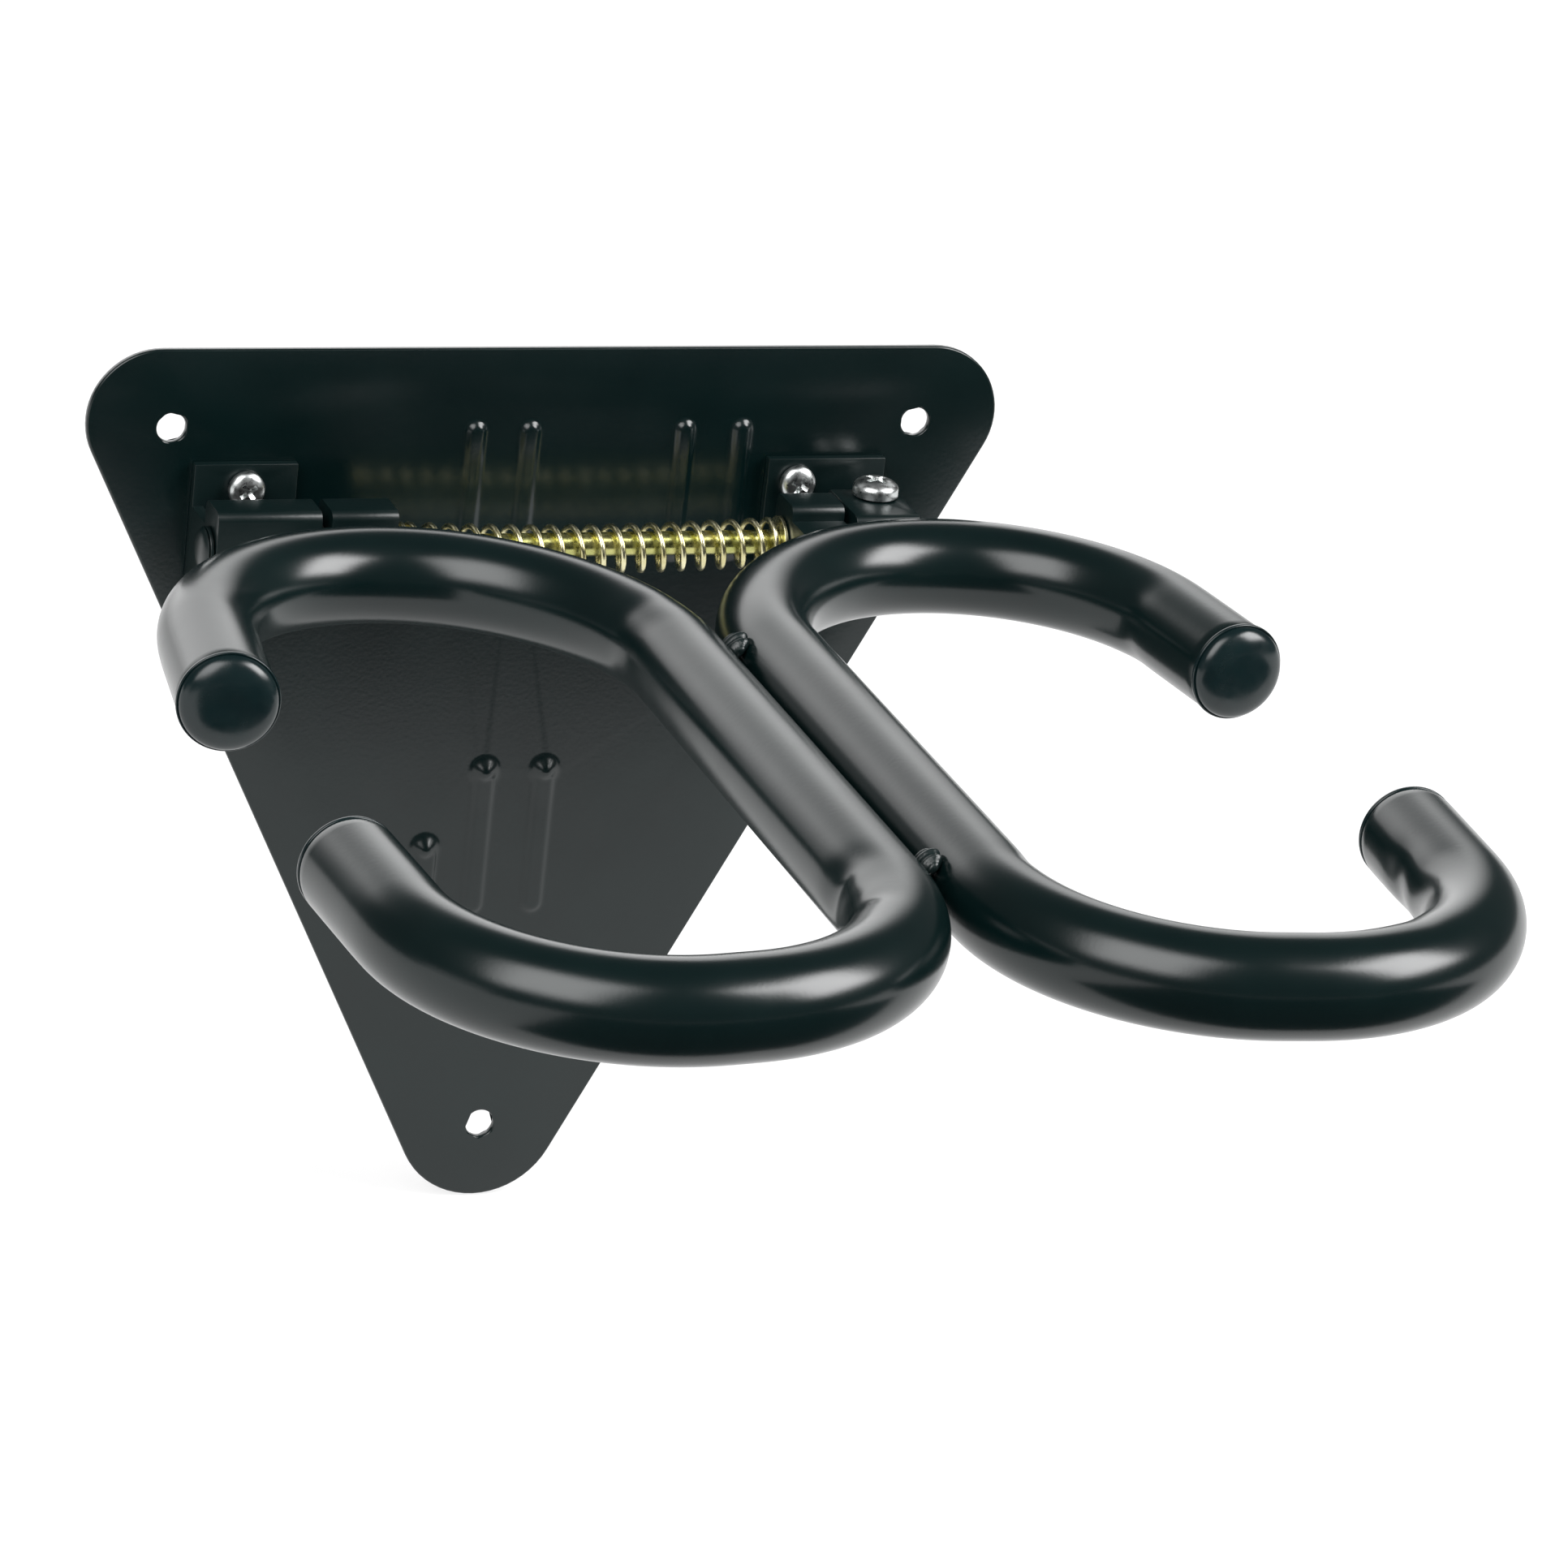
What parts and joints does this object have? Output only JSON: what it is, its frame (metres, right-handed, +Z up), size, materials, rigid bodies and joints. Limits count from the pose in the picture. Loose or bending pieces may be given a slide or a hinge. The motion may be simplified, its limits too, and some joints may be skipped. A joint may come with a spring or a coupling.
{
  "type": "folding bicycle wall rack",
  "caption": "Wall rack for a bicycle: a triangular wall plate with a sprung rod hinge, on which two bent-tube loops, joined back to back, fold up against the wall.",
  "frame": {"origin": "on the back face of the wall plate, midway between its two upper screw holes", "axes": "+X along the wall to the right as seen from in front, +Y into the wall, +Z up; the loops point to -Y"},
  "size_m": [0.2943, 0.355, 0.2475],
  "materials": {
    "plate_coat": "semi-gloss black coat on pressed steel",
    "powder_coat": "semi-gloss black powder coat on steel",
    "cap_plastic": "glossy black moulded plastic",
    "nylon": "satin black nylon",
    "yellow_zinc": "yellow zinc plated steel",
    "bright_zinc": "bright zinc plated steel"
  },
  "bodies": {
    "wall": {"wall_plate": "plate_coat", "left_bracket": "powder_coat", "right_bracket": "powder_coat", "hinge_rod": "yellow_zinc", "rod_washer_left": "bright_zinc", "rod_washer_right": "bright_zinc", "rod_nut": "bright_zinc", "rod_lock_screw": "bright_zinc", "left_bracket_screw_top": "bright_zinc", "left_bracket_screw_bottom": "bright_zinc", "right_bracket_screw_top": "bright_zinc", "right_bracket_screw_bottom": "bright_zinc"},
    "arms": {"left_arm_tube": "powder_coat", "right_arm_tube": "powder_coat", "left_lug": "powder_coat", "right_lug": "powder_coat", "left_bush": "nylon", "right_bush": "nylon", "left_friction_washer": "nylon", "right_friction_washer": "nylon", "spring": "yellow_zinc", "spring_seat_left": "yellow_zinc", "spring_seat_right": "yellow_zinc", "tie_rear": "powder_coat", "tie_front": "powder_coat", "cap_left_rear": "cap_plastic", "cap_left_front": "cap_plastic", "cap_right_rear": "cap_plastic", "cap_right_front": "cap_plastic"}
  },
  "joints": [
    {"name": "arm_fold", "type": "hinge", "parent": "wall", "child": "arms", "pos_m": [0, -0.0245, -0.0257], "axis": [-1, 0, 0], "range_deg": [0, 90]}
  ]
}
